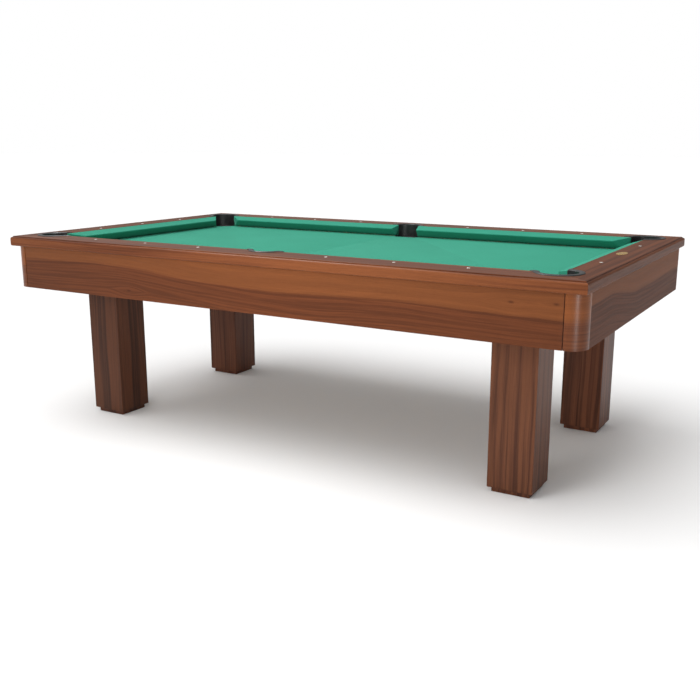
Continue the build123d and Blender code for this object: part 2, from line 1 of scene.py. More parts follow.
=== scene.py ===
"""Looks of the pool table: materials for the CAD pieces, and cloth, pockets and trim built as meshes.

Everything is in metres, in the CAD frame: the floor is z = 0 and +X runs along the table.
"""
import math

import bmesh
import bpy
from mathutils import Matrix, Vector


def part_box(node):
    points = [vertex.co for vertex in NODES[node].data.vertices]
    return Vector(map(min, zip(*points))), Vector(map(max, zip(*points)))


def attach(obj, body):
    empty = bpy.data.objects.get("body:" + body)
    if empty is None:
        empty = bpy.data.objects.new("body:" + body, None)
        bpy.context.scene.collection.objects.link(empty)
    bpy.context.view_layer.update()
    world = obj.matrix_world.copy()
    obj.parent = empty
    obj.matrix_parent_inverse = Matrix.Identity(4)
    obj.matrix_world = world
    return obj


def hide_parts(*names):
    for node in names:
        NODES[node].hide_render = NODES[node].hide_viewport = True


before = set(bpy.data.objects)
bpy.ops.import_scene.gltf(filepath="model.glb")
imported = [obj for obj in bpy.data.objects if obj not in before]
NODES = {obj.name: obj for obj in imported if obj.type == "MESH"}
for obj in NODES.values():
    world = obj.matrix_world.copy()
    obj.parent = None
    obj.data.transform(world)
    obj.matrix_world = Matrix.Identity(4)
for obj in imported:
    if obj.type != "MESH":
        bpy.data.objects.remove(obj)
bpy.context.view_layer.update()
CORNERS = {"front_right": (1, -1), "front_left": (-1, -1), "back_right": (1, 1), "back_left": (-1, 1)}
SIDES = {"front": -1, "back": 1}
ENDS = {"right_end": 1, "left_end": -1}

# ---- measures read from the frame -----------------------------------------------------
CAP_LOW, CAP_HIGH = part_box("rail_cap_back_right")
RAIL_TOP = CAP_HIGH.z
CAP_BOTTOM = CAP_LOW.z
WOOD_Y = CAP_LOW.y
OUTER_Y = CAP_HIGH.y
WOOD_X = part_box("rail_cap_right_end")[0].x
OUTER_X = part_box("rail_cap_right_end")[1].x
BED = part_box("bed_cloth")[1].z
CLOTH_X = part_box("bed_cloth")[1].x
CLOTH_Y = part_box("bed_cloth")[1].y
FIELD_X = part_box("cushion_cloth_right_end")[0].x
FIELD_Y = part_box("cushion_cloth_back_right")[0].y
APRON_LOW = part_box("apron_front")[0].z
APRON_TALL = CAP_BOTTOM - APRON_LOW
LEG_LOW, LEG_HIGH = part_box("leg_back_right")
LEG_X = (LEG_LOW.x + LEG_HIGH.x) / 2
POCKET_LOW, POCKET_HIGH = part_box("pocket_back_right")
SIDE_LOW, SIDE_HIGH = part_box("pocket_back_side")
SIGHT_RADIUS = 0.00635
SIGHT_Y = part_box("rail_sights")[1].y - SIGHT_RADIUS
SIGHT_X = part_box("rail_sights")[1].x - SIGHT_RADIUS
# where the CAD's sights sit: along the long rails, and off the middle of the ends
LONG_RAIL_SIGHTS = (0.3017, 0.5838, 0.8659)
END_RAIL_SIGHT = 0.2868

# ---- pocket sizes -----------------------------------------------------------------------
RIM_THICK = POCKET_HIGH.z - RAIL_TOP
WALL = 0.0025
FLOOR = 0.003
CORNER_RIM = 0.083
CORNER_INNER = 0.0635
CORNER_CENTRE = (POCKET_HIGH.x - CORNER_RIM, POCKET_HIGH.y - CORNER_RIM)
SIDE_RIM = 0.076
SIDE_INNER = 0.059
SIDE_CENTRE = (0.0, SIDE_HIGH.y - SIDE_RIM)
EAR = 0.014
EAR_SPREAD = math.radians(9)
EAR_GAP = 0.001
CUP_TOP = BED - 0.006
RIM_STEPS = 72
CUP_STEPS = 64

# ---- cloth sizes ------------------------------------------------------------------------
CUSHION_CLOTH = 0.0009
BED_CLOTH = 0.0006
CLOTH_GAP = 0.0006
CORNER_JAW = math.radians(38)
SIDE_JAW = math.radians(14)
CORNER_MOUTH = 0.121 / math.sqrt(2)
SIDE_MOUTH = 0.068

# ---- light and camera -------------------------------------------------------------------
SUN = 1.65
SUN_ANGLE = 1.05
DIM_SKY = 0.14
BRIGHT_SKY = 1.0
DIM_FROM = -0.2
BRIGHT_SIDE = (-0.25, -0.2, 0.9)
FRONT_POWER = 17.0
GLOSS_POWER = 60.0
CAMERA_PLACE = (2.0454, -3.4312, 1.2594)
CAMERA_DOWN = 13.24
CAMERA_TURN = 30.56
CAMERA_LENS = 46.16

# ---- trim and stage ---------------------------------------------------------------------
PLATE_STEPS = 72
SIGHT_STEPS = 28
FLOOR_REACH = 60.0

# ---- wood grain -------------------------------------------------------------------------
GRAIN_WIDTH = 0.183
KNOT_STRETCH = 0.45


# ---- material graphs --------------------------------------------------------------------
class Graph:
    """A material's nodes, with a short call for each kind used here."""

    def __init__(self, name):
        self.material = bpy.data.materials.new(name)
        self.material.use_nodes = True
        self.tree = self.material.node_tree
        self.shader = self.tree.nodes["Principled BSDF"]

    def feed(self, target, value):
        """Links a socket into the target, or sets it to a constant."""
        if isinstance(value, bpy.types.NodeSocket):
            self.tree.links.new(value, target)
        else:
            target.default_value = value

    def add(self, kind, inputs=None, **settings):
        """A node with its settings and inputs, the inputs by name or by number."""
        node = self.tree.nodes.new(kind)
        for key, value in settings.items():
            setattr(node, key, value)
        for key, value in (inputs or {}).items():
            self.feed(node.inputs[key], value)
        return node

    def math(self, operation, a, b=0.0):
        return self.add("ShaderNodeMath", {0: a, 1: b}, operation=operation).outputs[0]

    def plus(self, a, b):
        return self.math("ADD", a, b)

    def minus(self, a, b):
        return self.math("SUBTRACT", a, b)

    def times(self, a, b):
        return self.math("MULTIPLY", a, b)

    def vector(self, operation, a, b):
        return self.add("ShaderNodeVectorMath", {0: a, 1: b}, operation=operation).outputs[0]

    def combine(self, x, y, z):
        return self.add("ShaderNodeCombineXYZ", {0: x, 1: y, 2: z}).outputs[0]

    def separate(self, vector):
        return self.add("ShaderNodeSeparateXYZ", {0: vector}).outputs

    def position(self):
        """The point in the piece's own frame, which is the CAD frame at rest."""
        return self.add("ShaderNodeTexCoord").outputs["Object"]

    def noise(self, vector, scale, detail=2.0, roughness=0.5, distortion=0.0):
        inputs = {"Vector": vector, "Scale": scale, "Detail": detail, "Roughness": roughness}
        inputs["Distortion"] = distortion
        return self.add("ShaderNodeTexNoise", inputs).outputs["Fac"]

    def cells(self, vector, scale):
        return self.add("ShaderNodeTexVoronoi", {"Vector": vector, "Scale": scale}).outputs["Distance"]

    def range(self, value, low, high, to_low=0.0, to_high=1.0, smooth=True):
        kind = "SMOOTHSTEP" if smooth else "LINEAR"
        inputs = {"Value": value, "From Min": low, "From Max": high, "To Min": to_low, "To Max": to_high}
        return self.add("ShaderNodeMapRange", inputs, interpolation_type=kind).outputs[0]

    def mix(self, share, a, b, blend="MIX"):
        """Two colours mixed; 0, 6, 7 and output 2 are the node's colour sockets."""
        node = self.add("ShaderNodeMix", {0: share, 6: a, 7: b}, data_type="RGBA", blend_type=blend)
        return node.outputs[2]

    def bump(self, height, distance, strength):
        node = self.add("ShaderNodeBump", {"Height": height, "Distance": distance, "Strength": strength})
        self.tree.links.new(node.outputs[0], self.shader.inputs["Normal"])

    def finish(self, **inputs):
        for key, value in inputs.items():
            self.feed(self.shader.inputs[key.replace("_", " ")], value)
        return self.material


def srgb(red, green, blue):
    """A colour given as it looks on a screen, 0 to 255, as linear light."""
    channels = []
    for value in (red, green, blue):
        share = value / 255
        channels.append(share / 12.92 if share <= 0.04045 else ((share + 0.055) / 1.055) ** 2.4)
    return (*channels, 1.0)


def shade(colour, share):
    """The colour made darker or lighter."""
    return tuple(channel * share for channel in colour[:3]) + (1.0,)


def veneer(
    name, axes, across_from, width, light, dark, seed,
    edge=None, figure=0.4, gloss=0.42, shine=0.15, knots=(), fold=0.0,
):
    """Lacquered veneer: axes are (along, across, depth), across runs 0 to 1 over width.

    edge gives the line between light sapwood and dark heartwood, as (across at the start,
    [(from, to, change), ...] along the piece). Without it the two woods drift into each other.
    Grain, streaks and rings all follow that line. knots are (along, across) places in metres.
    figure is how far the grain sways, gloss the roughness of the lacquer and shine its
    specular level. fold is how much depth counts as across, so that grain also runs along
    the faces round a corner.
    """
    g = Graph(name)
    xyz = g.separate(g.position())
    along, across, depth = (xyz["XYZ".index(axis)] for axis in axes)
    v = g.math("DIVIDE", g.minus(across, across_from), width)
    if fold:
        v = g.plus(v, g.times(depth, fold / width))
    line = edge[0] if edge else 0.0
    for start, end, change in (edge[1] if edge else ()):
        line = g.plus(g.range(along, start, end, 0.0, change), line)
    shifted = g.plus(along, seed)
    sway = g.noise(g.combine(g.times(shifted, 1.3), g.times(v, 1.1), depth), 1.0, 2.0, 0.4)
    follow = g.plus(g.minus(v, line), g.times(g.minus(sway, 0.5), figure))
    spots = None
    for knot_along, knot_across in knots:
        off_along = g.times(g.minus(along, knot_along), KNOT_STRETCH)
        off_across = g.minus(across, knot_across)
        squares = g.plus(g.times(off_along, off_along), g.times(off_across, off_across))
        reach = g.math("SQRT", squares)
        pull = g.times(g.range(reach, 0.0, 0.06, 0.10, 0.0), g.math("SIGN", off_across))
        follow = g.plus(follow, pull)
        spot = g.range(reach, 0.001, 0.007, 1.0, 0.0)
        spots = spot if spots is None else g.math("MAXIMUM", spots, spot)

    def grain(stretch, lines, detail, roughness, third):
        """Noise with so many cells per metre along the piece, and so many lines across it."""
        rows = lines * width / GRAIN_WIDTH
        point = g.combine(g.times(shifted, stretch), g.times(follow, rows), third)
        return g.noise(point, 1.0, detail, roughness)

    ring = grain(0.7, 8.0, 3.0, 0.55, seed)
    streak = grain(2.0, 26.0, 4.0, 0.62, depth)
    fibre = grain(9.0, 95.0, 4.0, 0.6, depth)
    pore = g.range(grain(55.0, 420.0, 1.0, 0.5, depth), 0.62, 0.74)

    ragged = g.times(g.minus(streak, 0.5), 0.14)
    if edge:
        heart = g.range(g.plus(follow, ragged), -0.035, 0.045)
    else:
        heart = g.range(g.plus(ring, ragged), 0.36, 0.64)
    deep = shade(dark, 0.58)
    pale = g.mix(g.range(ring, 0.35, 0.65), light, shade(light, 1.16))
    rich = g.mix(g.range(streak, 0.40, 0.68), dark, deep)
    colour = g.mix(heart, pale, rich)
    colour = g.mix(g.range(streak, 0.50, 0.72, 0.0, 0.30), colour, dark)
    bright = g.range(fibre, 0.22, 0.78, 0.82, 1.18, smooth=False)
    colour = g.mix(1.0, colour, g.combine(bright, bright, bright), "MULTIPLY")
    colour = g.mix(g.times(pore, 0.40), colour, deep)
    if spots is not None:
        colour = g.mix(g.times(spots, 0.55), colour, shade(dark, 0.3))
    rough = g.range(fibre, 0.2, 0.8, gloss - 0.05, gloss + 0.07, smooth=False)
    g.bump(g.minus(g.times(fibre, 0.4), pore), 0.00010, 0.5)
    return g.finish(Base_Color=colour, Roughness=rough, Specular_IOR_Level=shine)


def plain_timber(name, axes, light, dark, seed):
    """Unfinished softwood of the hidden frame, with straight soft rings."""
    g = Graph(name)
    xyz = g.separate(g.position())
    along, across, depth = (xyz["XYZ".index(axis)] for axis in axes)
    point = g.combine(g.plus(along, seed), across, depth)
    sway = g.noise(g.vector("MULTIPLY", point, (1.2, 6.0, 6.0)), 1.0, 1.0)
    stripe = g.plus(g.times(across, 90.0), g.times(depth, 60.0))
    stripe = g.math("FRACT", g.plus(stripe, g.times(sway, 5.0)))
    fibre = g.noise(g.vector("MULTIPLY", point, (9.0, 300.0, 300.0)), 1.0, 3.0)
    colour = g.mix(g.times(g.math("POWER", stripe, 2.5), 0.7), light, dark)
    colour = g.mix(g.range(fibre, 0.3, 0.8, 0.0, 0.35), colour, dark)
    g.bump(fibre, 0.0002, 0.6)
    return g.finish(Base_Color=colour, Roughness=0.72)


def baize(name):
    """Worsted green cloth: tight weave under a short brushed nap."""
    g = Graph(name)
    point = g.position()
    nap = g.noise(g.vector("MULTIPLY", point, (1.0, 0.55, 1.0)), 1500.0, 3.0, 0.7)
    threads = 5200.0
    weave_x = g.math("SINE", g.times(g.separate(point)[0], threads))
    weave_y = g.math("SINE", g.times(g.separate(point)[1], threads))
    weave = g.times(weave_x, weave_y)
    brushed = g.noise(point, 5.0, 3.0, 0.55)
    chalk = g.range(g.noise(point, 34.0, 4.0, 0.6), 0.66, 0.80)
    deep = srgb(33, 125, 102)
    lit = srgb(50, 150, 124)
    colour = g.mix(g.range(brushed, 0.3, 0.7, 0.42, 0.58), deep, lit)
    colour = g.mix(g.range(nap, 0.3, 0.8, 0.0, 0.35), colour, srgb(72, 170, 142))
    colour = g.mix(g.times(chalk, 0.06), colour, srgb(112, 184, 166))
    relief = g.plus(g.times(nap, 0.8), g.times(weave, 0.1))
    g.bump(relief, 0.00035, 0.7)
    return g.finish(
        Base_Color=colour, Roughness=0.92, Sheen_Weight=0.25, Sheen_Roughness=0.45,
        Sheen_Tint=srgb(120, 220, 190), Specular_IOR_Level=0.15,
    )


def moulded_rubber(name, tone=0.014, gloss=0.36):
    """Black moulded rubber with a fine leather grain."""
    g = Graph(name)
    point = g.position()
    grain = g.cells(point, 620.0)
    fine = g.noise(point, 900.0, 3.0, 0.6)
    scuff = g.noise(point, 60.0, 4.0, 0.65)
    black = (tone, tone, tone * 1.05, 1.0)
    worn = (tone * 2.6, tone * 2.6, tone * 2.5, 1.0)
    colour = g.mix(g.range(scuff, 0.45, 0.8, 0.0, 0.6), black, worn)
    relief = g.plus(g.times(grain, 0.9), g.times(fine, 0.25))
    g.bump(relief, 0.0003, 0.5)
    rough = g.range(scuff, 0.3, 0.75, gloss - 0.06, gloss + 0.16)
    return g.finish(Base_Color=colour, Roughness=rough, Specular_IOR_Level=0.5)


def gum_rubber(name):
    """Tan gum rubber of the cushions, under the cloth."""
    g = Graph(name)
    speck = g.noise(g.position(), 400.0, 4.0, 0.6)
    colour = g.mix(g.range(speck, 0.3, 0.7), srgb(176, 140, 96), srgb(150, 112, 72))
    g.bump(speck, 0.0002, 0.5)
    return g.finish(Base_Color=colour, Roughness=0.8)


def slate_stone(name):
    """Honed slate, with faint cleavage and mineral clouds."""
    g = Graph(name)
    point = g.position()
    cloud = g.noise(g.vector("MULTIPLY", point, (3.0, 3.0, 9.0)), 1.0, 5.0, 0.6, 0.6)
    grit = g.noise(point, 420.0, 3.0, 0.6)
    colour = g.mix(g.range(cloud, 0.3, 0.7), srgb(72, 78, 82), srgb(98, 104, 106))
    colour = g.mix(g.range(grit, 0.5, 0.8, 0.0, 0.3), colour, srgb(130, 134, 134))
    g.bump(grit, 0.0002, 0.5)
    return g.finish(Base_Color=colour, Roughness=0.66)


def bright_metal(name, colour, dull):
    """Turned or stamped metal with fine brushing and a little tarnish."""
    g = Graph(name)
    point = g.position()
    tarnish = g.noise(point, 104.0, 4.0, 0.6)
    brush = g.noise(g.vector("MULTIPLY", point, (1.0, 9.0, 1.0)), 520.0, 3.0)
    base = g.mix(g.range(tarnish, 0.4, 0.8, 0.0, 0.5), colour, dull)
    g.bump(brush, 0.00005, 0.4)
    rough = g.range(brush, 0.2, 0.8, 0.22, 0.38)
    return g.finish(Base_Color=base, Roughness=rough, Metallic=1.0)


def pearl(name):
    """Milky pearl of the inlaid sights, with soft swirls."""
    g = Graph(name)
    swirl = g.noise(g.position(), 120.0, 3.0, 0.6, 2.0)
    colour = g.mix(g.range(swirl, 0.3, 0.7), srgb(240, 236, 226), srgb(206, 208, 204))
    g.bump(swirl, 0.0002, 0.2)
    return g.finish(Base_Color=colour, Roughness=0.2, Coat_Weight=0.6, Coat_Roughness=0.06)


# ---- woods of the visible pieces ----------------------------------------------------------
APRON_TONES = (srgb(110, 62, 31), srgb(97, 51, 26))
CAP_TONES = (srgb(122, 70, 40), srgb(98, 53, 32))
# the end pieces get greyer copies of the walnut tones, darker as well on the caps: painted shade for the end
# faces, which face away from the light
SHADED_END_APRON_TONES = (srgb(113, 70, 47), srgb(96, 59, 43))
SHADED_END_CAP_TONES = (srgb(106, 63, 42), srgb(88, 52, 36))
POST_TONES = (srgb(122, 67, 29), srgb(110, 59, 30))
# each leg's tones copy how much light that leg gets: painted shade, with the front-left leg much darker for
# the light falling off towards the left end
LEG_TONES_WITH_PAINTED_SHADE = {
    "front_right": (srgb(108, 66, 44), srgb(80, 47, 33)),
    "front_left": (srgb(88, 52, 34), srgb(64, 38, 27)),
    "back_right": (srgb(116, 70, 48), srgb(84, 50, 36)),
    "back_left": (srgb(104, 62, 42), srgb(76, 44, 31)),
}
APRON_EDGE = (0.29, [(-0.80, 0.05, 0.22), (0.15, 0.70, -0.08)])
END_APRON_EDGE = (0.22, [(-0.45, -0.05, 0.24)])
POST_EDGE = (0.45, [])
APRON_KNOTS = ((-0.61, 0.648), (1.05, 0.752), (1.20, 0.757))
LEG_GRAIN_WIDTH = 0.18


def veneers():
    """One veneer for each visible wooden CAD piece, its grain along the piece."""
    made = {}
    for name, side in SIDES.items():
        made[f"apron_{name}"] = veneer(
            f"walnut_apron_{name}", "XZY", CAP_BOTTOM, -APRON_TALL, *APRON_TONES,
            seed=3.1 + side, edge=APRON_EDGE, figure=0.30, knots=APRON_KNOTS,
        )
        cap = veneer(
            f"walnut_cap_{name}", "XYZ", side * WOOD_Y, side * (OUTER_Y - WOOD_Y), *CAP_TONES,
            seed=8.3 + side, figure=0.25, gloss=0.36, shine=0.10, fold=-side,
        )
        made[f"rail_cap_{name}_right"] = cap
        made[f"rail_cap_{name}_left"] = cap
    for name, side in ENDS.items():
        # the end aprons and end caps take the shaded end tones: painted shade
        made[f"apron_{name}"] = veneer(
            f"walnut_apron_{name}", "YZX", CAP_BOTTOM, -APRON_TALL, *SHADED_END_APRON_TONES,
            seed=14.7 + side, edge=END_APRON_EDGE, figure=0.26, gloss=0.5, shine=0.04,
        )
        made[f"rail_cap_{name}"] = veneer(
            f"walnut_cap_{name}", "YXZ", side * WOOD_X, side * (OUTER_X - WOOD_X), *SHADED_END_CAP_TONES,
            seed=21.9 + side, figure=0.22, gloss=0.42, shine=0.05, fold=-side,
        )
    for index, (name, (sx, _)) in enumerate(CORNERS.items()):
        made[f"corner_post_{name}"] = veneer(
            f"walnut_post_{name}", "XZY", CAP_BOTTOM, -APRON_TALL, *POST_TONES,
            seed=31.0 + 2.3 * index, edge=POST_EDGE, figure=0.10, gloss=0.30, shine=0.22,
        )
        # each leg veneer takes its own leg's tones, which hold painted shade
        made[f"leg_{name}"] = veneer(
            f"walnut_leg_{name}", "ZXY", sx * LEG_X - LEG_GRAIN_WIDTH / 2, LEG_GRAIN_WIDTH,
            *LEG_TONES_WITH_PAINTED_SHADE[name], seed=47.0 + 3.7 * index, figure=0.35, fold=-1.0,
        )
        made[f"foot_{name}"] = made[f"leg_{name}"]
    return made


def dress(node, material):
    """Gives a CAD node its material."""
    mesh = NODES[node].data
    mesh.materials.clear()
    mesh.materials.append(material)


def dress_cad():
    """Materials for every CAD piece that stays."""
    for node, material in veneers().items():
        dress(node, material)
    pine_x = plain_timber("pine_along_x", "XZY", srgb(204, 172, 128), srgb(170, 128, 84), 2.0)
    pine_y = plain_timber("pine_along_y", "YZX", srgb(200, 168, 126), srgb(166, 126, 84), 5.0)
    boards = ("subrails_long", "inner_frame_boards", "long_beams", "slate_backing_boards", "leg_platforms")
    for node in boards:
        dress(node, pine_x)
    for node in ("subrails_end", "cross_beams"):
        dress(node, pine_y)
    stone = slate_stone("honed_slate")
    for node in ("slate_left", "slate_centre", "slate_right"):
        dress(node, stone)
    steel = bright_metal("zinc_steel", srgb(178, 178, 180), srgb(128, 126, 122))
    for node in ("rail_bolts", "leg_bolts", "slate_screws", "cabinet_screws", "threaded_inserts"):
        dress(node, steel)
    for name in CORNERS:
        dress(f"levelling_screw_{name}", steel)
    gum = gum_rubber("gum_rubber")
    dress("cushion_rubbers_long", gum)
    dress("cushion_rubbers_end", gum)
    dress("pocket_facings", moulded_rubber("facing_rubber", 0.03, 0.6))


# ---- mesh tools -----------------------------------------------------------------------------
def piece(name, points, faces, material, smooth=True):
    """A mesh object from points and faces, with its material."""
    mesh = bpy.data.meshes.new(name)
    mesh.from_pydata([tuple(p) for p in points], [], faces)
    mesh.validate()
    made = bmesh.new()
    made.from_mesh(mesh)
    bmesh.ops.remove_doubles(made, verts=made.verts, dist=1e-6)
    bmesh.ops.recalc_face_normals(made, faces=made.faces)
    made.to_mesh(mesh)
    made.free()
    mesh.materials.append(material)
    for polygon in mesh.polygons:
        polygon.use_smooth = smooth
    obj = bpy.data.objects.new(name, mesh)
    bpy.context.scene.collection.objects.link(obj)
    return obj


def loft(rows, closed=False):
    """Quads between neighbouring rows of points, all of one length."""
    count = len(rows[0])
    points = [p for row in rows for p in row]
    faces = []
    for i in range(len(rows) - 1):
        for j in range(count if closed else count - 1):
            k = (j + 1) % count
            faces.append((i * count + j, i * count + k, (i + 1) * count + k, (i + 1) * count + j))
    return points, faces


def spaced(start, end, count):
    """Evenly spaced values from start to end."""
    return [start + (end - start) * i / (count - 1) for i in range(count)]


def mirrored(points, sign_x, sign_y):
    """Points of the back-right quarter moved into another corner."""
    return [(x * sign_x, y * sign_y, z) for x, y, z in points]


def ride_and_replace(obj, node):
    """A piece that stands for a CAD node of the fixed body."""
    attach(obj, "root")
    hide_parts(node)


def thicken(obj, thickness):
    """Gives a skin its thickness, inwards."""
    modifier = obj.modifiers.new("thickness", "SOLIDIFY")
    modifier.thickness = thickness
    modifier.offset = -1.0


def smooth_by_angle(obj, degrees):
    """Smooth shading with hard edges where the surface turns sharply."""
    obj.data.set_sharp_from_angle(angle=math.radians(degrees))


# ---- pockets ------------------------------------------------------------------------------
def rim_rows(centre, inner, rim, line, first, last):
    """Closed sections of the crescent rim and the wall behind the mouth, round the pocket.

    line is how far the wood's inner edge lies outside the centre. The rim's ears follow that
    edge to thin points, and its section gets thinner towards them.
    """
    rows = []
    start = math.asin(line / (rim + EAR))
    for angle in spaced(first + start, last - start, RIM_STEPS):
        turn = min(angle - first, last - angle)
        near = max(inner, line / math.sin(turn)) if turn < math.pi / 2 else inner
        far = max(rim + EAR * math.exp(-(((turn - start) / EAR_SPREAD) ** 2)), near + 0.0006)
        width = far - near
        rise = RIM_THICK * min(1.0, 0.25 + width / 0.014)
        section = [
            (near + WALL, CUP_TOP - 0.002),
            (near + WALL, RAIL_TOP + 0.0002),
            (far, RAIL_TOP + 0.0001),
            (far - width * 0.02, RAIL_TOP + rise * 0.45),
            (far - width * 0.10, RAIL_TOP + rise * 0.82),
            (far - width * 0.28, RAIL_TOP + rise),
            (near + width * 0.30, RAIL_TOP + rise * 0.96),
            (near + width * 0.08, RAIL_TOP + rise * 0.70),
            (near, RAIL_TOP + rise * 0.25),
            (near, RAIL_TOP - 0.004),
            (near, CUP_TOP - 0.002),
        ]
        section = [(min(r, far) if z > RAIL_TOP else r, z) for r, z in section]
        rows.append([
            (centre[0] + r * math.cos(angle), centre[1] + r * math.sin(angle), z) for r, z in section
        ])
    return rows


def cup_rows(centre, inner, front):
    """Sections of the cup under the bed, flattened where its front meets the slate."""
    low = POCKET_LOW.z
    profile = [
        (0.0, low), (inner - 0.010, low), (inner + WALL - 0.001, low + 0.004), (inner + WALL, low + 0.012),
        (inner + WALL, CUP_TOP - 0.0005), (inner + WALL - 0.0005, CUP_TOP), (inner + 0.0004, CUP_TOP),
        (inner, CUP_TOP - 0.0006), (inner, low + 0.016), (inner - 0.004, low + 0.008),
        (inner - 0.014, low + FLOOR), (0.0, low + FLOOR),
    ]
    rows = []
    for radius, z in profile:
        limit = -math.inf
        if front is not None:
            limit = front + (inner + WALL - radius if radius > inner - 0.002 else WALL)
        row = []
        for i in range(CUP_STEPS):
            turn = 2 * math.pi * i / CUP_STEPS
            x = centre[0] + radius * math.cos(turn)
            y = centre[1] + radius * math.sin(turn)
            row.append((x, max(y, limit), z))
        rows.append(row)
    return rows


def pocket_piece(node, material, sign_x, sign_y, centre, inner, rim, line, first, last, front=None):
    """One moulded pocket: rim with its wall, and the cup."""
    rows = rim_rows(centre, inner, rim, line, first, last)
    points, faces = loft(rows, closed=True)
    count = len(rows[0])
    faces.append(tuple(range(count)))
    faces.append(tuple(range(len(points) - count, len(points))))
    cup_points, cup_faces = loft(cup_rows(centre, inner, front), closed=True)
    faces += [tuple(i + len(points) for i in face) for face in cup_faces]
    obj = piece(f"moulded_{node}", mirrored(points + cup_points, sign_x, sign_y), faces, material)
    smooth_by_angle(obj, 38)
    ride_and_replace(obj, node)


def make_pockets():
    """Six drop pockets of black moulded rubber."""
    material = moulded_rubber("black_moulded_rubber")
    line = WOOD_Y + EAR_GAP - CORNER_CENTRE[1]
    first, last = math.radians(-90), math.radians(180)
    for name, (sx, sy) in CORNERS.items():
        pocket_piece(
            f"pocket_{name}", material, sx, sy, CORNER_CENTRE, CORNER_INNER, CORNER_RIM, line, first, last,
        )
    line = WOOD_Y + EAR_GAP - SIDE_CENTRE[1]
    for name, side in SIDES.items():
        pocket_piece(
            f"pocket_{name}_side", material, 1, side, SIDE_CENTRE, SIDE_INNER, SIDE_RIM, line, 0.0, math.pi,
            front=SIDE_LOW.y,
        )


# ---- cloths -------------------------------------------------------------------------------
def nose_section():
    """Outline of a cushion's cloth from under the nose to the groove in the wood: (outward, z)."""
    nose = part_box("cushion_cloth_back_right")
    top = RAIL_TOP
    tip_z = BED + 0.0363
    arc = []
    for turn in spaced(math.radians(-62), math.radians(105), 9):
        arc.append((0.0042 - 0.0042 * math.cos(turn), tip_z + 0.0040 * math.sin(turn)))
    below = [(0.0340, nose[0].z), (0.0262, BED + 0.0081), (0.0142, BED + 0.0205)]
    above = [(0.0180, top - 0.0098), (0.0300, top - 0.0068), (0.0420, top - 0.0032), (0.0492, top - 0.0008)]
    tuck = [(0.0506, top - 0.0012), (0.0507, top - 0.0060)]
    return below + arc + above + tuck


def cushion_points(start, end, slope_start, slope_end):
    """Rows of points over one cushion, in (along, outward, z), its jaws padded and rounded."""
    section = nose_section()
    middle_out, middle_z = 0.030, BED + 0.034
    padded_to = 0.045
    back_off = (0.0, 0.0012, 0.0045)
    shrink = (0.955, 0.985, 1.0)
    stations = []
    for inset, share in zip(back_off, shrink):
        stations.append((0.0, inset, share))
    for share in spaced(0.02, 0.98, 25):
        stations.append((share, 0.0, 1.0))
    for inset, share in zip(reversed(back_off), reversed(shrink)):
        stations.append((1.0, -inset, share))
    rows = []
    for part, inset, share in stations:
        row = []
        for out, z in section:
            out_now = middle_out + (out - middle_out) * share if out < padded_to else out
            z_now = middle_z + (z - middle_z) * share
            low = start + slope_start * out_now
            high = end + slope_end * out_now
            row.append((low + (high - low) * part + inset, out_now, z_now))
        rows.append(row)
    return rows


def cushion_piece(node, material, rows, place):
    """One stretched cushion cloth, closed over its two jaws."""
    points, faces = loft(rows)
    count = len(rows[0])
    total = len(points)
    for first in (0, total - count):
        faces.append(tuple(range(first, first + count)) + (len(points),))
        last = points[first + count - 1]
        points.append((last[0], last[1], BED + 0.0012))
    obj = piece(f"stretched_{node}", [place(p) for p in points], faces, material)
    smooth_by_angle(obj, 50)
    thicken(obj, CUSHION_CLOTH)
    ride_and_replace(obj, node)


def make_cushions(material):
    """Six cushion cloths, each over one rubber and its facings."""
    corner_slope = 1 / math.tan(CORNER_JAW)
    side_slope = -math.tan(SIDE_JAW)
    long_rows = cushion_points(SIDE_MOUTH, FIELD_X - CORNER_MOUTH, side_slope, corner_slope)
    end_rows = cushion_points(CORNER_MOUTH - FIELD_Y, FIELD_Y - CORNER_MOUTH, -corner_slope, corner_slope)
    for name, (sx, sy) in CORNERS.items():
        cushion_piece(
            f"cushion_cloth_{name}", material, long_rows,
            lambda p, sx=sx, sy=sy: (sx * p[0], sy * (FIELD_Y + p[1]), p[2]),
        )
    for name, side in ENDS.items():
        cushion_piece(
            f"cushion_cloth_{name}", material, end_rows,
            lambda p, side=side: (side * (FIELD_X + p[1]), p[0], p[2]),
        )


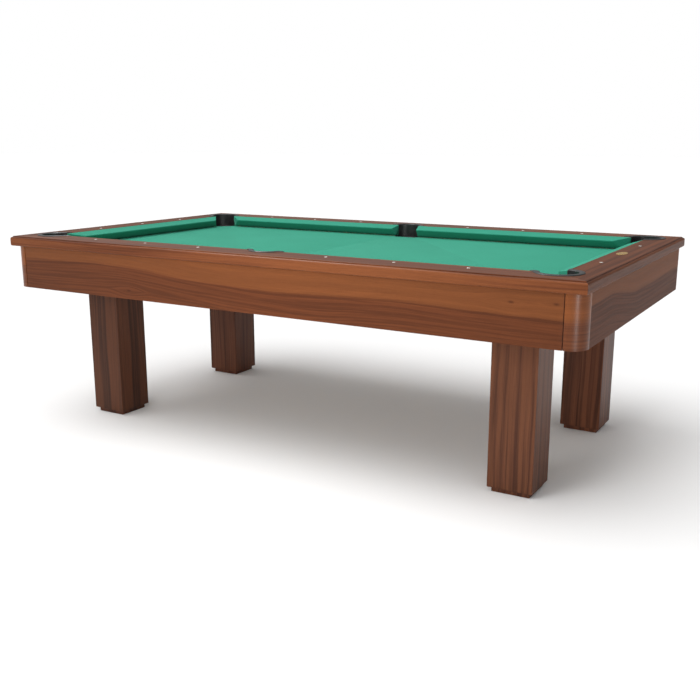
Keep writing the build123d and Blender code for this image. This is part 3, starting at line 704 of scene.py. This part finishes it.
def make_bed_cloth(material):
    """The bed cloth, cut out at the pockets and turned down over the slate's edge there."""
    turn_down = [(0.004, 0.0), (0.0018, -0.0006), (0.0005, -0.0020), (0.0, -0.0045), (0.0, -0.0210)]
    hole = CORNER_INNER + WALL + CLOTH_GAP
    side_hole = SIDE_INNER + WALL + CLOTH_GAP
    ledge = SIDE_LOW.y - CLOTH_GAP
    reach = math.sqrt(side_hole ** 2 - (SIDE_CENTRE[1] - ledge) ** 2)
    corner_arc = spaced(math.radians(270), math.radians(180), 25)

    def corner_edge(grow, drop):
        radius = hole + grow
        middle_x, middle_y = CORNER_CENTRE
        row = [(middle_x + radius * math.cos(a), middle_y + radius * math.sin(a)) for a in corner_arc]
        row = [(CLOTH_X, row[0][1])] + row + [(row[-1][0], CLOTH_Y)]
        return [(x, y, BED + drop) for x, y in row]

    def side_edge(grow, drop):
        radius = side_hole + grow
        meet = math.asin((ledge - SIDE_CENTRE[1]) / side_hole)
        turns = spaced(0.0, meet, 9)[:-1]
        row = [(radius, CLOTH_Y)]
        row += [(radius * math.cos(a), SIDE_CENTRE[1] + radius * math.sin(a)) for a in turns]
        row += [(x, ledge - grow) for x in spaced(reach + grow, 0.0, 8)]
        return [(x, y, BED + drop) for x, y in row]

    points, faces = [], []

    def add(rows):
        more, quads = loft(rows)
        faces.extend(tuple(i + len(points) for i in quad) for quad in quads)
        points.extend(more)

    outline = []
    for sx, sy in ((1, 1), (-1, 1), (-1, -1), (1, -1)):
        corner = mirrored(corner_edge(*turn_down[0]), sx, sy)
        side = mirrored(side_edge(*turn_down[0]), sx, sy)
        add([mirrored(corner_edge(*step), sx, sy) for step in turn_down])
        add([mirrored(side_edge(*step), sx, sy) for step in turn_down])
        quarter = corner + side
        outline += quarter if sx * sy > 0 else list(reversed(quarter))
    start = len(points)
    points += outline
    faces.append(tuple(range(start, start + len(outline))))
    obj = piece("stretched_bed_cloth", points, faces, material)
    smooth_by_angle(obj, 60)
    thicken(obj, BED_CLOTH)
    ride_and_replace(obj, "bed_cloth")


# ---- trim -----------------------------------------------------------------------------------
def make_sights():
    """Seventeen domed pearl sights, let into the caps."""
    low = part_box("rail_sights")[0].z
    places = [(sx * x, sy * SIGHT_Y) for x in LONG_RAIL_SIGHTS for sx, sy in CORNERS.values()]
    places += [(sx * SIGHT_X, sy * END_RAIL_SIGHT) for sx, sy in CORNERS.values()]
    places.append((-SIGHT_X, 0.0))
    section = [(0.0, low), (1.0, low), (1.0, RAIL_TOP), (0.97, RAIL_TOP + 0.0003), (0.80, RAIL_TOP + 0.0007)]
    section += [(0.45, RAIL_TOP + 0.0010), (0.0, RAIL_TOP + 0.0011)]
    points, faces = [], []
    for x, y in places:
        rows = []
        for share, z in section:
            radius = SIGHT_RADIUS * share
            turns = [2 * math.pi * i / SIGHT_STEPS for i in range(SIGHT_STEPS)]
            rows.append([(x + radius * math.cos(a), y + radius * math.sin(a), z) for a in turns])
        more, quads = loft(rows, closed=True)
        faces += [tuple(i + len(points) for i in quad) for quad in quads]
        points += more
    obj = piece("domed_rail_sights", points, faces, pearl("pearl_sight"))
    smooth_by_angle(obj, 40)
    ride_and_replace(obj, "rail_sights")


def make_plate():
    """Blank oval plate with a raised rim and a softly crowned field."""
    low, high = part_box("blank_oval_plate")
    middle = (low + high) / 2
    half = (high - low) / 2
    thick = high.z - low.z
    section = [(0.0005, 0.0), (0.0, 0.5), (0.0006, 0.85), (0.0016, 1.0), (0.0030, 1.0)]
    section += [(0.0038, 0.75), (0.0046, 0.55), (0.010, 0.65)]
    turns = [2 * math.pi * i / PLATE_STEPS for i in range(PLATE_STEPS)]
    rows = []
    for inset, rise in section:
        wide, deep, z = half.x - inset, half.y - inset, low.z + thick * rise
        rows.append([(middle.x + wide * math.cos(a), middle.y + deep * math.sin(a), z) for a in turns])
    points, faces = loft(rows, closed=True)
    faces.append(tuple(range(PLATE_STEPS)))
    faces.append(tuple(range(len(points) - PLATE_STEPS, len(points))))
    brass = bright_metal("brass_plate", srgb(236, 196, 112), srgb(190, 146, 70))
    obj = piece("rimmed_oval_plate", points, faces, brass)
    smooth_by_angle(obj, 30)
    ride_and_replace(obj, "blank_oval_plate")


# ---- stage ------------------------------------------------------------------------------------
def make_stage():
    """Pale floor that runs out to the white background."""
    points = [(x * FLOOR_REACH, y * FLOOR_REACH, 0) for x, y in ((-1, -1), (1, -1), (1, 1), (-1, 1))]
    g = Graph("pale_floor")
    material = g.finish(Base_Color=srgb(240, 240, 240), Roughness=0.9, Specular_IOR_Level=0.2)
    floor = piece("studio_floor", points, [(0, 1, 2, 3)], material, False)


def add_light(name, kind, place, target, energy, **settings):
    """A lamp aimed at a point."""
    data = bpy.data.lights.new(name, kind)
    data.energy = energy
    for key, value in settings.items():
        setattr(data, key, value)
    light = bpy.data.objects.new(name, data)
    light.location = place
    light.rotation_euler = (Vector(target) - Vector(place)).to_track_quat("-Z", "Y").to_euler()
    bpy.context.scene.collection.objects.link(light)
    return light


def make_world():
    """Sky that is brightest high at the front left, and plain white where it is seen."""
    world = bpy.data.worlds.new("white_studio")
    world.use_nodes = True
    tree = world.node_tree
    glow = tree.nodes["Background"]
    coordinates = tree.nodes.new("ShaderNodeTexCoord")
    towards = tree.nodes.new("ShaderNodeVectorMath")
    towards.operation = "DOT_PRODUCT"
    towards.inputs[1].default_value = Vector(BRIGHT_SIDE).normalized()
    ramp = tree.nodes.new("ShaderNodeMapRange")
    seen = tree.nodes.new("ShaderNodeBackground")
    path = tree.nodes.new("ShaderNodeLightPath")
    mix = tree.nodes.new("ShaderNodeMixShader")
    tree.links.new(coordinates.outputs["Generated"], towards.inputs[0])
    tree.links.new(towards.outputs["Value"], ramp.inputs["Value"])
    ramp.inputs["From Min"].default_value = DIM_FROM
    ramp.inputs["To Min"].default_value = DIM_SKY
    ramp.inputs["To Max"].default_value = BRIGHT_SKY
    glow.inputs["Color"].default_value = (1.0, 1.0, 1.0, 1.0)
    tree.links.new(ramp.outputs[0], glow.inputs["Strength"])
    seen.inputs["Color"].default_value = (1.0, 1.0, 1.0, 1.0)
    tree.links.new(path.outputs["Is Camera Ray"], mix.inputs[0])
    tree.links.new(glow.outputs[0], mix.inputs[1])
    tree.links.new(seen.outputs[0], mix.inputs[2])
    tree.links.new(mix.outputs[0], tree.nodes["World Output"].inputs[0])
    bpy.context.scene.world = world


def add_softbox(name, place, target, power, wide, tall):
    """A rectangular lamp aimed at a point."""
    return add_light(name, "AREA", place, target, power, shape="RECTANGLE", size=wide, size_y=tall)


def make_lights():
    """A very soft sun, a softbox facing the front, and two that only put gloss on the wood."""
    add_light("soft_sun", "SUN", (-1.0, -0.8, 4.0), (0.0, 0.0, 0.0), SUN, angle=SUN_ANGLE)
    front = add_softbox("softbox_front", (0.1, -2.2, 1.15), (0.1, -0.73, 0.65), FRONT_POWER, 1.0, 0.7)
    front.visible_glossy = False
    above = add_softbox("gloss_over_left", (-1.1, -0.6, 2.8), (-0.2, -0.2, 0.8), GLOSS_POWER, 1.2, 1.0)
    strip = add_softbox("gloss_strip_right", (3.6, -2.66, 0.9), (1.29, -0.73, 0.7), GLOSS_POWER, 0.45, 1.6)
    for light in (above, strip):
        light.visible_diffuse = False


def make_camera():
    """The studio view: a little above the rails, from the front right."""
    data = bpy.data.cameras.new("studio_camera")
    data.sensor_width = 36.0
    data.lens = CAMERA_LENS
    camera = bpy.data.objects.new("studio_camera", data)
    camera.location = CAMERA_PLACE
    camera.rotation_euler = (math.radians(90 - CAMERA_DOWN), 0.0, math.radians(CAMERA_TURN))
    bpy.context.scene.collection.objects.link(camera)
    bpy.context.scene.camera = camera


make_camera()
make_stage()
make_world()
make_lights()
bpy.context.scene.view_settings.view_transform = "Standard"
dress_cad()
baize_cloth = baize("green_baize")
make_bed_cloth(baize_cloth)
make_cushions(baize_cloth)
make_pockets()
make_sights()
make_plate()
